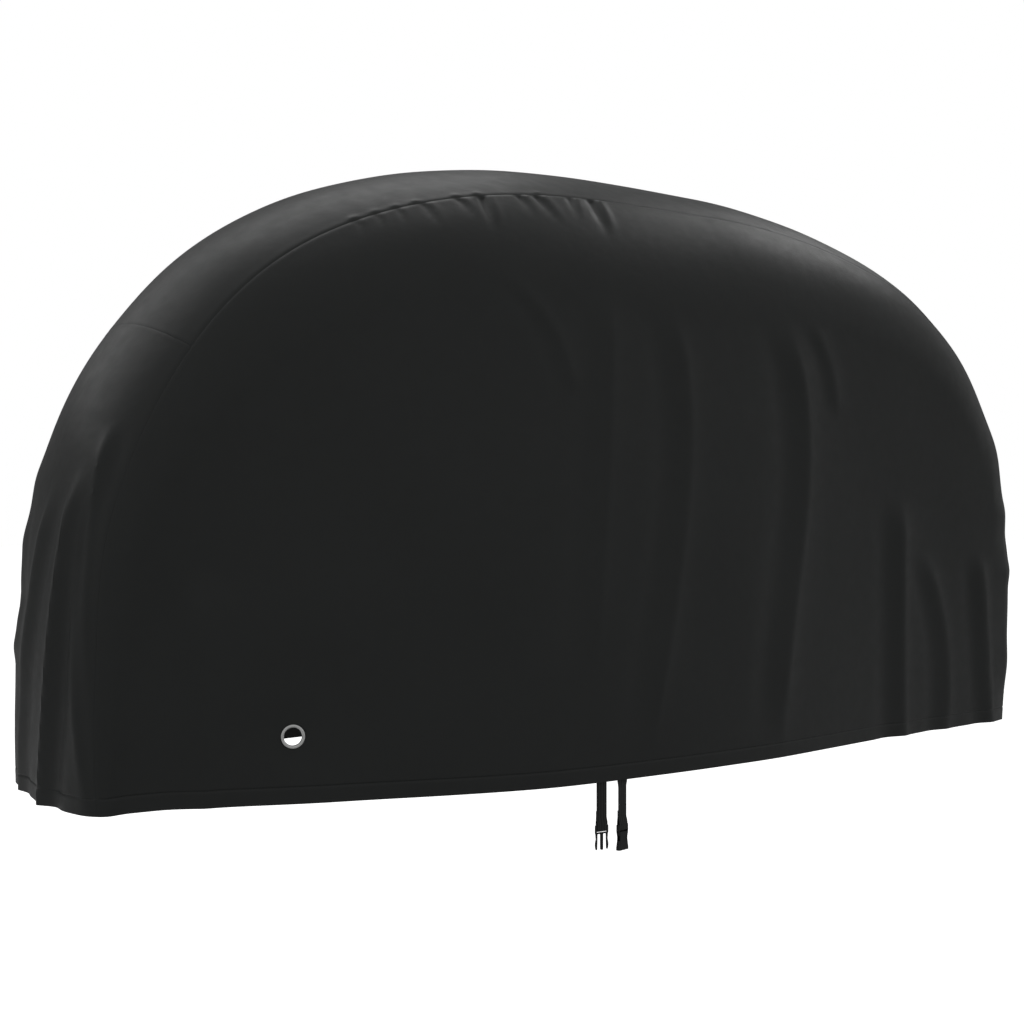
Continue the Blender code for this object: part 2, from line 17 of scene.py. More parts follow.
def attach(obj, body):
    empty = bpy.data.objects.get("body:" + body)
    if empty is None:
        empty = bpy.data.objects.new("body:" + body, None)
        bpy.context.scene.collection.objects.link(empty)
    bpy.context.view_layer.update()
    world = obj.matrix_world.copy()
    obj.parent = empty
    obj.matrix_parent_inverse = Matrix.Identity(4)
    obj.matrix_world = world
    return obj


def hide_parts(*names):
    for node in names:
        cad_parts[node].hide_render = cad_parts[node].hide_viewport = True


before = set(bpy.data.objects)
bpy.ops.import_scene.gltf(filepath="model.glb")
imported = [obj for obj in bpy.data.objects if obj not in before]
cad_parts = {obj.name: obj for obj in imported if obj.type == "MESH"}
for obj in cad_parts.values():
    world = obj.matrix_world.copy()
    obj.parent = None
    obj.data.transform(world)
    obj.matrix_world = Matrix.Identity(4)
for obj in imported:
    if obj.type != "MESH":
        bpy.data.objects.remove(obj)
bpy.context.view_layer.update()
MM = 0.001

# ---------------------------------------------------------------- the cover's form, as the frame has it

CROWN_HEIGHT, CROWN_X = 1.03, 0.015
NOSE_REACH, TAIL_REACH = 1.012, 0.988
NOSE_FULLNESS, TAIL_FULLNESS = 2.87, 3.15
ROUNDNESS = 2.06
END_ROUNDING, CROWN_ROUNDING = 0.077, 0.249
BULGE_POWER = 1.47
CLOTH, HEM, HEM_STEP, HEM_TURN = 2 * MM, 25 * MM, 2 * MM, 1 * MM
SEAM_GAP, SET_GAP = 0.1 * MM, 0.3 * MM     # at a seam, closer than the frame's, and round a set piece
CROSS_SEAM, TAIL_CORNER = 140.3, 40.0      # degrees over the tail's hem

# How far the ridge stands out of its smooth run, by degrees over the tail's hem.
RIDGE_SLACK = (
    (0, -0.001), (20, 0.017), (40, 0.004), (60, -0.013), (80, 0.006), (100, 0.014),
    (120, 0.007), (140, 0.010), (150, 0.013), (160, 0.006), (180, -0.004),
)
# Half widths of the body at the hem and at its shoulder by place along, and of the strip by degrees.
HEM_WIDTH = (
    (-1.0, 0.252), (-0.95, 0.242), (-0.9, 0.2235), (-0.6, 0.294), (-0.25, 0.359),
    (0.15, 0.326), (0.55, 0.24), (0.85, 0.19), (1.0, 0.169),
)
SHOULDER_WIDTH = ((-1.0, 0.219), (0.0, 0.274), (1.0, 0.278))
STRIP_WIDTH = ((0, 0.158), (20, 0.19), (40, 0.2), (154, 0.2), (168, 0.218), (180, 0.224))

# A fold's crest is a smooth curve through four places at even heights from its top to its foot, with a
# shallower trough on its nose side. A fold's places are along the cover and a pleat's across the strip.
Fold = namedtuple("Fold", "top_z low_z top high low foot half_width height")
NEAR_FOLDS = (
    Fold(0.80, 0.62, -0.306, -0.243, -0.213, -0.200, 0.018, 0.003),
    Fold(0.79, 0.15, -0.118, -0.136, -0.162, -0.190, 0.028, 0.0045),
    Fold(0.78, 0.02, 0.007, 0.025, -0.022, -0.076, 0.028, 0.007),
    Fold(0.78, -0.02, 0.259, 0.309, 0.264, 0.234, 0.031, 0.0085),
    Fold(0.77, 0.60, 0.333, 0.369, 0.389, 0.392, 0.018, 0.0035),
    Fold(0.47, -0.20, 0.585, 0.592, 0.600, 0.607, 0.028, 0.009),
    Fold(0.36, -0.20, 0.650, 0.735, 0.737, 0.659, 0.026, 0.0065),
    Fold(0.36, -0.20, 0.835, 0.867, 0.893, 0.917, 0.024, 0.008),
    Fold(0.35, -0.20, -0.794, -0.793, -0.793, -0.796, 0.030, 0.006),
)
FAR_FOLDS = (
    Fold(0.74, 0.10, -0.420, -0.439, -0.436, -0.410, 0.040, 0.007),
    Fold(0.78, 0.05, -0.080, -0.106, -0.109, -0.090, 0.036, 0.008),
    Fold(0.77, 0.02, 0.230, 0.256, 0.259, 0.240, 0.040, 0.008),
    Fold(0.46, -0.20, 0.560, 0.570, 0.580, 0.590, 0.034, 0.009),
    Fold(0.40, -0.20, 0.800, 0.806, 0.816, 0.830, 0.030, 0.007),
    Fold(0.38, -0.20, -0.760, -0.771, -0.778, -0.780, 0.045, 0.007),
)
NOSE_PLEATS = (
    Fold(0.57, 0.08, -0.156, -0.179, -0.203, -0.229, 0.013, 0.007),
    Fold(0.48, -0.25, -0.161, -0.175, -0.219, -0.292, 0.015, 0.0045),
    Fold(0.51, -0.25, -0.132, -0.124, -0.090, -0.028, 0.021, 0.012),
    Fold(0.48, -0.25, -0.061, -0.000, 0.048, 0.085, 0.022, 0.007),
    Fold(0.48, -0.25, 0.100, 0.108, 0.116, 0.122, 0.026, 0.003),
    Fold(0.50, -0.25, 0.160, 0.167, 0.172, 0.175, 0.022, 0.003),
)
TAIL_PLEATS = (
    Fold(0.46, -0.25, -0.084, -0.081, -0.079, -0.076, 0.026, 0.011),
    Fold(0.42, -0.25, 0.006, 0.010, 0.009, 0.004, 0.026, 0.01),
    Fold(0.48, -0.25, 0.094, 0.091, 0.090, 0.092, 0.026, 0.012),
)
TROUGH_SHARE, TROUGH_SIDE = 0.55, 1.7      # of the crest's height, and in half widths from it
SEAM_CALM = 0.06        # beside a seam, the stretch in which folds fade

EYELET_X, EYELET_Z = -0.670, 0.100
EYELET_HELD, EYELET_FADE = 24 * MM, 40 * MM     # the cloth lies flat round it, then eases to its folds
EYELET_BORE, EYELET_BARREL, EYELET_RIM = 13.5 * MM, 15 * MM, 18 * MM
EYELET_ROLL, EYELET_WASHER = 1.5 * MM, 1.0 * MM

STRAP_WIDTH, WEBBING, STRAP_SEWN, STRAP_TAIL = 20 * MM, 1.2 * MM, 55 * MM, 30 * MM
BUCKLE_BAR = 2 * MM
LOOP = BUCKLE_BAR / math.sqrt(2) + WEBBING / 2 + 1.5 * SET_GAP
TURN_OVER = 12 * MM     # below the hem, the stretch in which a strap turns
Strap = namedtuple("Strap", "name x turn drop")
STRAPS = (
    Strap("strap_left", -0.1755, 0.0, 76 * MM),
    Strap("strap_right", -0.1340, 12.0, 79 * MM),
)

# ---------------------------------------------------------------- what only the looks have

# Small gathers of the near panel, which run down from its seam: where the dent of each starts, how far
# it drifts towards the tail, how far down it runs, and its size. The cloth rises on its tail side.
Gather = namedtuple("Gather", "x drift run half_width height")
NEAR_GATHERS = (
    Gather(-0.535, 0.004, 0.018, 0.005, 0.0012),
    Gather(-0.501, 0.005, 0.020, 0.005, 0.0014),
    Gather(-0.464, 0.006, 0.024, 0.005, 0.0014),
    Gather(-0.419, 0.012, 0.040, 0.007, 0.0022),
    Gather(-0.357, 0.018, 0.036, 0.007, 0.0024),
    Gather(-0.312, -0.006, 0.056, 0.009, 0.0050),
    Gather(-0.243, 0.009, 0.034, 0.008, 0.0032),
    Gather(-0.209, 0.016, 0.046, 0.009, 0.0040),
    Gather(-0.142, -0.006, 0.036, 0.008, 0.0028),
    Gather(-0.099, -0.004, 0.064, 0.010, 0.0048),
)
GATHER_RISE, GATHER_BESIDE = 0.45, 1.8     # the rise's share of the height, and half widths to it

# Puckers of the strip's edge beside them: degrees over the tail's hem, and height.
Pucker = namedtuple("Pucker", "angle height")
STRIP_PUCKERS = (
    Pucker(121.7, 0.0016), Pucker(119.6, 0.0013), Pucker(117.6, 0.0014), Pucker(115.5, 0.0016),
    Pucker(111.4, 0.0014), Pucker(109.2, 0.0016), Pucker(102.5, 0.0010),
)
PUCKER_SPREAD, PUCKER_IN, PUCKER_LENGTH = 0.45, 6 * MM, 4 * MM

# Uneven runs of the outline: degrees over the tail's hem, height, spread in degrees, and place across.
Swell = namedtuple("Swell", "angle height spread y")
SWELLS = (
    Swell(48.5, -0.0025, 3.5, -0.20), Swell(32.3, 0.0055, 3.2, -0.20), Swell(25.3, 0.0025, 1.3, -0.20),
    Swell(22.4, -0.0020, 1.2, -0.20), Swell(18.3, 0.0040, 1.3, -0.20), Swell(7.0, 0.0045, 2.6, -0.20),
    Swell(138.0, -0.0040, 4.0, 0.02), Swell(153.6, 0.0035, 1.8, 0.10), Swell(158.6, 0.0035, 1.7, 0.10),
    Swell(163.6, -0.0040, 1.5, 0.08), Swell(167.7, 0.0028, 1.0, 0.10), Swell(171.6, -0.0042, 2.4, 0.09),
)
SWELL_ACROSS = 0.07

SIDE_SLACK, STRIP_SLACK = 1.6 * MM, 0.8 * MM
SEAM_RISE, SEAM_DIP, STITCH_DENT, HEM_PUFF = 0.25 * MM, 0.45 * MM, 1.3 * MM, 0.2 * MM
EDGE_EASE = 6 * MM      # beside a seam, the stretch in which a small detail fades
CREST_FALL, CREST_EASE = 1.2, 0.02         # how fast a crest falls away, and how round it is

# ---------------------------------------------------------------- curves and the smooth form


def through(rows, place):
    """A smooth curve through a table's rows, level past its ends and with no swing between them."""
    places, values = np.array(rows, float).T
    steps = np.diff(values) / np.diff(places)
    slopes = np.concatenate((steps[:1], np.zeros(len(steps) - 1), steps[-1:]))
    before, after = steps[:-1], steps[1:]
    agree = before * after > 0
    slopes[1:-1][agree] = (2 * before * after)[agree] / (before + after)[agree]
    place = np.clip(place, places[0], places[-1])
    here = np.clip(np.searchsorted(places, place, side="right") - 1, 0, len(steps) - 1)
    span = np.diff(places)[here]
    t = (place - places[here]) / span
    return (
        values[here] * (1 + 2 * t) * (1 - t) ** 2
        + values[here + 1] * t * t * (3 - 2 * t)
        + span * t * (1 - t) * (slopes[here] * (1 - t) - slopes[here + 1] * t)
    )


def eased(t):
    t = np.clip(t, 0.0, 1.0)
    return t * t * (3 - 2 * t)


def bell(distance, half_width):
    return np.exp(-((distance / half_width) ** 2))


def ridge_reach(angle):
    tail = angle < math.pi / 2
    reach = np.where(tail, TAIL_REACH, NOSE_REACH)
    power = np.where(tail, TAIL_FULLNESS, NOSE_FULLNESS)
    along, up = np.abs(np.cos(angle)) / reach, np.abs(np.sin(angle)) / CROWN_HEIGHT
    return (along**power + up**power) ** (-1 / power) + through(RIDGE_SLACK, np.degrees(angle))


def rounding(angle):
    return END_ROUNDING + (CROWN_ROUNDING - END_ROUNDING) * np.sin(angle) ** 2


def body_half_width(x, z):
    share = np.clip(z / CROWN_HEIGHT, 0.0, 1.0) ** BULGE_POWER
    return through(HEM_WIDTH, x) * (1 - share) + through(SHOULDER_WIDTH, x) * share


def turn_over(x, z):
    """How far the side has turned over there: 0 or less on its flat, 1 on the ridge."""
    angle = np.arctan2(np.maximum(z, 0.0), x - CROWN_X)
    share = np.hypot(x - CROWN_X, z) / ridge_reach(angle)
    return 1 + (share - 1) / rounding(angle)


def half_width(x, z):
    """How far the side stands from the middle plane there."""
    turned = np.clip(turn_over(x, z), 0.0, 1.0)
    return body_half_width(x, z) * (1 - turned**ROUNDNESS) ** (1 / ROUNDNESS)


def fullness(points):
    """1 on the form, less inside it and more outside."""
    x, y, z = np.moveaxis(points, -1, 0)
    sideways = np.abs(y) / body_half_width(x, z)
    return sideways**ROUNDNESS + np.maximum(turn_over(x, z), 0.0) ** ROUNDNESS


def outward(points, step=0.5 * MM):
    slope = np.stack(
        [fullness(points + axis * step) - fullness(points - axis * step) for axis in np.eye(3)], -1
    )
    return slope / np.linalg.norm(slope, axis=-1, keepdims=True)


def on_strip(angle, y):
    """The form's points at angles over the tail's hem and distances from the middle plane. Eight rounds
    settle how far out each lies."""
    angle, y = np.broadcast_arrays(np.asarray(angle, float), np.asarray(y, float))
    reach, share = ridge_reach(angle), np.ones(angle.shape)
    for _ in range(8):
        x = CROWN_X + reach * share * np.cos(angle)
        z = reach * share * np.sin(angle)
        sideways = np.minimum(np.abs(y) / body_half_width(x, z), 1.0)
        share = 1 + rounding(angle) * ((1 - sideways**ROUNDNESS) ** (1 / ROUNDNESS) - 1)
    return np.stack((x, y, z), -1)


def strip_half_width(angle):
    return through(STRIP_WIDTH, np.degrees(angle))


def on_seam(angle, beyond=0.0):
    return on_strip(angle, strip_half_width(angle) + beyond)


SEAM_ANGLES = np.radians(np.linspace(0, 180, 1441))
SEAM = on_seam(SEAM_ANGLES, SEAM_GAP / 2)


def below_seam(x, z):
    """How far a place on a side lies in from the seam."""
    angle = np.arctan2(np.maximum(z, 0.0), x - CROWN_X)
    reach = np.interp(angle, SEAM_ANGLES, np.hypot(SEAM[:, 0] - CROWN_X, SEAM[:, 2]))
    return reach - np.hypot(x - CROWN_X, z)


def on_side(x, z, side):
    return np.stack((x, side * half_width(x, z), z), -1)


# The row's origin is on the cloth's underside over the middle, where the cover hangs.
OVER_CROWN = on_strip(np.radians(np.linspace(120, 60, 4001)), 0.0)
CROWN_UNDERSIDE = float(np.interp(0.0, OVER_CROWN[:, 0], OVER_CROWN[:, 2])) - CLOTH

# ---------------------------------------------------------------- folds


def crest_at(fold, t):
    """Where a fold's crest is: a cubic through its four places."""
    return (
        -4.5 * fold.top * (t - 1 / 3) * (t - 2 / 3) * (t - 1)
        + 13.5 * fold.high * t * (t - 2 / 3) * (t - 1)
        - 13.5 * fold.low * t * (t - 1 / 3) * (t - 1)
        + 4.5 * fold.foot * t * (t - 1 / 3) * (t - 2 / 3)
    )


def crease(across, from_top, fold):
    """One fold's lift: a ridge with a sharper crest than the solid's, and the solid's trough. It rises
    over the first eighth of its length and fades over the last quarter."""
    t = np.clip(from_top, 0.0, 1.0)
    side = (across - crest_at(fold, t)) / fold.half_width
    ridge = np.exp(-CREST_FALL * (np.sqrt(side**2 + CREST_EASE) - math.sqrt(CREST_EASE)))
    shape = ridge - TROUGH_SHARE * bell(side + TROUGH_SIDE, 1)
    return fold.height * shape * eased(8 * t) * eased(4 * (1 - t))


def folded(folds, across, z):
    return sum(crease(across, (f.top_z - z) / (f.top_z - f.low_z), f) for f in folds)


def seam_roll(distance, z):
    """The cloth dips into its seam and rises over the seam's turned edge. Low down, where the seam is
    slack, a fifth of that is left."""
    drawn = 0.2 + 0.8 * eased((z - 0.45) / 0.4)
    return drawn * (SEAM_RISE * bell(distance - 5 * MM, 3 * MM) - SEAM_DIP * bell(distance, 1.3 * MM))


def hem_line(z):
    """The dent of the hem's stitching and the puff below it, which only the outside has."""
    over = z - HEM
    return HEM_PUFF * bell(over + 6 * MM, 3.5 * MM) - STITCH_DENT * bell(over, 1.4 * MM)


def swell(angle, y):
    """How far the cloth stands out of its smooth run there."""
    degrees = np.degrees(angle)
    return sum(
        w.height * bell(degrees - w.angle, w.spread) * bell(y - w.y, SWELL_ACROSS) for w in SWELLS
    )


def slack(u, v, scale):
    """Soft unevenness of loose cloth: a few long waves, the same in each run."""
    return scale * (
        np.sin(9.1 * u + 1.3 * np.sin(4.3 * v + 0.7)) * 0.5
        + np.sin(17.3 * u - 3.1 * v + 1.1 * np.sin(6.1 * u)) * 0.3
        + np.sin(27.7 * u + 5.3 * v + 2.0) * 0.2
    )


def side_lift(x, z, side, folds, gathers):
    """How far a side panel's cloth stands off its smooth form."""
    inside = below_seam(x, z)
    free = eased(inside / SEAM_CALM)
    lifted = (folded(folds, x, z) + slack(x, z, SIDE_SLACK)) * free + seam_roll(inside, z)
    for g in gathers:
        along = inside / g.run
        dent = x - g.x - g.drift * along
        rise = bell(dent - GATHER_BESIDE * g.half_width, g.half_width)
        shape = GATHER_RISE * rise - bell(dent, g.half_width)
        lifted = lifted + g.height * shape * eased((inside + 1 * MM) / EDGE_EASE) * eased(1.2 - along)
    angle = np.arctan2(np.maximum(z, 0.0), x - CROWN_X)
    return lifted + swell(angle, side * strip_half_width(angle)) * (1 - free)


def strip_lift(angle, y, z, half, pleats):
    """How far a strip's cloth stands off its smooth form."""
    from_edge = half - np.abs(y)
    lifted = folded(pleats, y, z) * eased(from_edge / (SEAM_CALM / 2)) + swell(angle, y)
    for p in STRIP_PUCKERS:
        around = bell(np.degrees(angle) - p.angle, PUCKER_SPREAD)
        lifted = lifted + p.height * around * bell(half + y - PUCKER_IN, PUCKER_LENGTH)
    lifted = lifted + slack(1.4 * angle, 3 * y, STRIP_SLACK) * eased(from_edge / SEAM_CALM)
    from_cross_seam = np.abs(angle - math.radians(CROSS_SEAM)) * ridge_reach(angle)
    return lifted + seam_roll(from_edge, z) + seam_roll(from_cross_seam, z)


def thickness(z):
    """The cloth's thickness, which is more where the hem is turned up."""
    return CLOTH + HEM_TURN * (1 - eased((z - HEM) / HEM_STEP))


# ---------------------------------------------------------------- making meshes


def add_object(name, mesh, sharp=35):
    """A finished mesh as an object at the origin, smooth up to its sharp edges."""
    bmesh.ops.recalc_face_normals(mesh, faces=mesh.faces)
    if mesh.calc_volume(signed=True) < 0:
        bmesh.ops.reverse_faces(mesh, faces=mesh.faces)
    data = bpy.data.meshes.new(name)
    mesh.to_mesh(data)
    mesh.free()
    data.shade_smooth()
    data.set_sharp_from_angle(angle=math.radians(sharp))
    made = bpy.data.objects.new(name, data)
    bpy.context.scene.collection.objects.link(made)
    return made


def closed_sheet(name, outer, inner, flat_uv):
    """A closed sheet between two grids of points, which run by rows and columns. It is lowered to the
    row's origin. The UVs are lengths along the cloth, in metres."""
    rows, columns = outer.shape[0] - 1, outer.shape[1] - 1
    mesh = bmesh.new()
    bmesh.ops.create_grid(mesh, x_segments=columns, y_segments=rows, size=0.5)
    raised = bmesh.ops.extrude_face_region(mesh, geom=mesh.faces[:], use_keep_orig=True)["geom"]
    top = [corner for corner in raised if isinstance(corner, bmesh.types.BMVert)]
    bmesh.ops.translate(mesh, verts=top, vec=(0, 0, 1))
    uv = mesh.loops.layers.uv.new("cloth")
    down = Vector((0, 0, -CROWN_UNDERSIDE))
    for corner in mesh.verts:
        column = round((corner.co.x + 0.5) * columns)
        row = round((corner.co.y + 0.5) * rows)
        corner.co = Vector((outer if corner.co.z > 0.5 else inner)[row, column]) + down
        place = flat_uv[row, column]
        for loop in corner.link_loops:
            loop[uv].uv = place
    return add_object(name, mesh)


def runs(*parts):
    """Places in runs, each of which is from, to and number of steps."""
    places = [start + (end - start) * i / count for start, end, count in parts for i in range(count)]
    return np.array(places + [parts[-1][1]])


def lengths(points):
    """UVs that follow the cloth: the way along each row, and the way up each column."""
    across = np.linalg.norm(np.diff(points, axis=1), axis=2)
    up = np.linalg.norm(np.diff(points, axis=0), axis=2)
    u = np.concatenate((np.zeros((len(points), 1)), np.cumsum(across, axis=1)), axis=1)
    v = np.concatenate((np.zeros((1, points.shape[1])), np.cumsum(up, axis=0)), axis=0)
    u -= u[:, [u.shape[1] // 2]]
    return np.stack((u, v), -1)


EDGE_STEPS = np.array((0, 0.7, 1.5, 2.6, 4.2, 6.4, 9.2, 13)) * MM
EDGE_CLEAR = 16 * MM


def edged(places):
    """Rising places with steps packed close at both ends."""
    first, last = places[0], places[-1]
    inner = places[(places > first + EDGE_CLEAR) & (places < last - EDGE_CLEAR)]
    return np.concatenate((first + EDGE_STEPS, inner, last - EDGE_STEPS[::-1]))


def panel_grid(columns, low_rows, high_rows):
    """Where a side panel's rows and columns cross. The rows are level near the hem, and above that they
    follow the seam's height. The columns lean and bend towards both ends, to end along the seam."""
    nose, tail = math.radians(CROSS_SEAM), math.radians(TAIL_CORNER)
    nose_corner, tail_corner = on_seam(np.array((nose, tail)), SEAM_GAP / 2)
    top_x = edged(np.concatenate(([nose_corner[0]], columns, [tail_corner[0]])))
    over = (SEAM_ANGLES > tail) & (SEAM_ANGLES < nose)
    top_edge = np.vstack((tail_corner, SEAM[over], nose_corner))[::-1]
    top_z = np.interp(top_x, top_edge[:, 0], top_edge[:, 2])
    low, high = low_rows[-1], top_z - EDGE_STEPS[-1]
    z = np.array(
        [np.full(len(top_x), height) for height in low_rows]
        + [low + (high - low) * t for t in np.linspace(0, 1, high_rows + 1)[1:-1]]
        + [top_z - step for step in EDGE_STEPS[::-1]]
    )
    along = (top_x - top_x[0]) / (top_x[-1] - top_x[0])
    nose_end, tail_end = SEAM[SEAM_ANGLES >= nose][::-1], SEAM[SEAM_ANGLES <= tail]
    ends = ((nose_end, nose_corner, (1 - along) ** 4), (tail_end, tail_corner, along**4))
    foot_x = top_x + sum(share * (edge[0, 0] - corner[0]) for edge, corner, share in ends)
    x = foot_x + (top_x - foot_x) * z / top_z
    up = np.maximum(z - low, 0.0) / (top_z - low)
    for edge, corner, share in ends:
        bent = np.interp(np.minimum(z, low) + up * (corner[2] - low), edge[:, 2], edge[:, 0])
        straight = edge[0, 0] + (corner[0] - edge[0, 0]) * z / top_z
        x = x + share * (bent - straight)
    return x, z


def flat_round_eyelet(points, outer, facing):
    """Lays the cloth flat where the eyelet grips it."""
    spot, eyelet_facing = eyelet_place()
    away = np.linalg.norm(points - spot, axis=-1)
    held = (1 - eased((away - EYELET_HELD) / EYELET_FADE))[..., None]
    drop = ((outer - spot) @ eyelet_facing)[..., None]
    facing = facing + held * (eyelet_facing - facing)
    facing /= np.linalg.norm(facing, axis=-1, keepdims=True)
    return outer - held * drop * eyelet_facing, facing


def side_panel(name, side, folds, gathers, grid):
    """A side panel: side is -1 for the near one, which has the eyelet, and 1 for the far one."""
    x, z = grid
    points = on_side(x, z, side)
    facing = outward(points)
    outer = points + facing * side_lift(x, z, side, folds, gathers)[..., None]
    if side < 0:
        outer, facing = flat_round_eyelet(points, outer, facing)
    inner = outer - facing * thickness(z)[..., None]
    stitched = hem_line(z) * eased(below_seam(x, z) / EDGE_EASE)
    return closed_sheet(name, outer + facing * stitched[..., None], inner, lengths(points))


def strip_piece(name, angles, pleats, across):
    """A length of the strip, from the first of its angles to the last."""
    angle = angles[:, None]
    half = strip_half_width(angle) - SEAM_GAP / 2
    y = half * across[None, :]
    points = on_strip(angle, y)
    z = points[..., 2]
    facing = outward(points)
    outer = points + facing * strip_lift(angle, y, z, half, pleats)[..., None]
    inner = outer - facing * thickness(z)[..., None]
    stitched = hem_line(z) * eased((half - np.abs(y)) / EDGE_EASE)
    return closed_sheet(name, outer + facing * stitched[..., None], inner, lengths(points))


def near_fold_lift(x, z):
    """How far the near panel's folds alone lift it at one place."""
    return folded(NEAR_FOLDS, x, z) * eased(below_seam(x, z) / SEAM_CALM)


def eyelet_place():
    """The eyelet's middle on the near panel, and the way it faces."""
    point = on_side(np.array(EYELET_X), np.array(EYELET_Z), -1)
    facing = outward(point)
    return point + facing * near_fold_lift(EYELET_X, EYELET_Z), facing


# ---------------------------------------------------------------- materials


def linear(hex_colour):
    """An sRGB colour, written as in a paint chart, as linear numbers."""
    parts = [int(hex_colour[i : i + 2], 16) / 255 for i in (0, 2, 4)]
    return (*(p / 12.92 if p <= 0.04045 else ((p + 0.055) / 1.055) ** 2.4 for p in parts), 1.0)


def feed(tree, node, inputs):
    """Joins or sets a node's inputs, which are named or numbered. A node given for a value stands for
    its first output in use."""
    for name, value in inputs.items():
        if isinstance(value, bpy.types.Node):
            value = next(output for output in value.outputs if output.enabled)
        if isinstance(value, bpy.types.NodeSocket):
            tree.links.new(value, node.inputs[name])
        else:
            node.inputs[name].default_value = value


def add_node(tree, kind, settings, inputs):
    node = tree.nodes.new("ShaderNode" + kind)
    for name, value in settings.items():
        setattr(node, name, value)
    feed(tree, node, inputs)
    return node


def new_material(name):
    material = bpy.data.materials.new(name)
    material.use_nodes = True
    return material, material.node_tree, material.node_tree.nodes["Principled BSDF"]


COLOUR_A, COLOUR_B = 6, 7       # a Mix node's two colours, by number


def coated_polyester():
    """Woven polyester with a polyurethane coat on its face: a black that is a little green, an even
    satin film with the IOR of plastics, and a plain weave that only just shows through it."""
    material, tree, shader = new_material("coated_polyester")
    # The threads are about 0.25 mm apart. They are drawn 0.45 mm apart, or no render would show them.
    thread = 0.45 * MM
    crinkle_size, patch_size = 26 * MM, 200 * MM
    stitch_length, row_half, row_fade = 4.5 * MM, 0.3 * MM, 0.6 * MM
    place = add_node(tree, "TexCoord", {}, {})
    cloth_uv, spot = place.outputs["UV"], place.outputs["Object"]
    along = add_node(tree, "SeparateXYZ", {}, {0: cloth_uv})
    waves = []
    for way in ("X", "Y"):
        turned = add_node(
            tree, "Math", {"operation": "MULTIPLY"}, {0: along.outputs[way], 1: math.pi / thread}
        )
        waves.append(add_node(tree, "Math", {"operation": "SINE"}, {0: turned}))
    weave = add_node(tree, "Math", {"operation": "MULTIPLY"}, {0: waves[0], 1: waves[1]})
    crinkle = add_node(
        tree, "TexNoise", {},
        {"Vector": cloth_uv, "Scale": 1 / crinkle_size, "Detail": 5.0, "Roughness": 0.55},
    )
    uneven = add_node(
        tree, "TexNoise", {},
        {"Vector": cloth_uv, "Scale": 1 / patch_size, "Detail": 3.0, "Roughness": 0.5},
    )
    # The hem's stitches are in one row at the hem's height.
    height = add_node(tree, "SeparateXYZ", {}, {0: spot})
    off = add_node(
        tree, "Math", {"operation": "SUBTRACT"}, {0: height.outputs["Z"], 1: HEM - CROWN_UNDERSIDE}
    )
    away = add_node(tree, "Math", {"operation": "ABSOLUTE"}, {0: off})
    in_row = add_node(
        tree, "MapRange", {},
        {"Value": away, "From Min": row_half, "From Max": row_fade, "To Min": 1.0, "To Max": 0.0},
    )
    beat = add_node(
        tree, "Math", {"operation": "MULTIPLY"}, {0: along.outputs["X"], 1: math.tau / stitch_length}
    )
    swing = add_node(tree, "Math", {"operation": "SINE"}, {0: beat})
    in_stitch = add_node(tree, "MapRange", {}, {"Value": swing, "From Min": -0.7, "From Max": -0.4})
    stitch = add_node(tree, "Math", {"operation": "MULTIPLY"}, {0: in_row, 1: in_stitch})
    face = add_node(
        tree, "Mix", {"data_type": "RGBA"},
        {0: uneven, COLOUR_A: linear("1D201F"), COLOUR_B: linear("272A29")},
    )
    colour = add_node(
        tree, "Mix", {"data_type": "RGBA"}, {0: stitch, COLOUR_A: face, COLOUR_B: linear("2E3130")}
    )
    satin = add_node(
        tree, "MapRange", {},
        {"Value": crinkle, "From Min": 0.3, "From Max": 0.7, "To Min": 0.38, "To Max": 0.47},
    )
    creased = add_node(tree, "Bump", {}, {"Strength": 0.35, "Distance": 1.2 * MM, "Height": crinkle})
    woven = add_node(
        tree, "Bump", {}, {"Strength": 0.16, "Distance": 0.1 * MM, "Height": weave, "Normal": creased}
    )
    sewn = add_node(
        tree, "Bump", {}, {"Strength": 0.6, "Distance": 0.3 * MM, "Height": stitch, "Normal": woven}
    )
    feed(tree, shader, {
        "Base Color": colour, "Roughness": satin, "Normal": sewn, "IOR": 1.5,
        "Sheen Weight": 0.05, "Sheen Roughness": 0.45,
    })
    return material


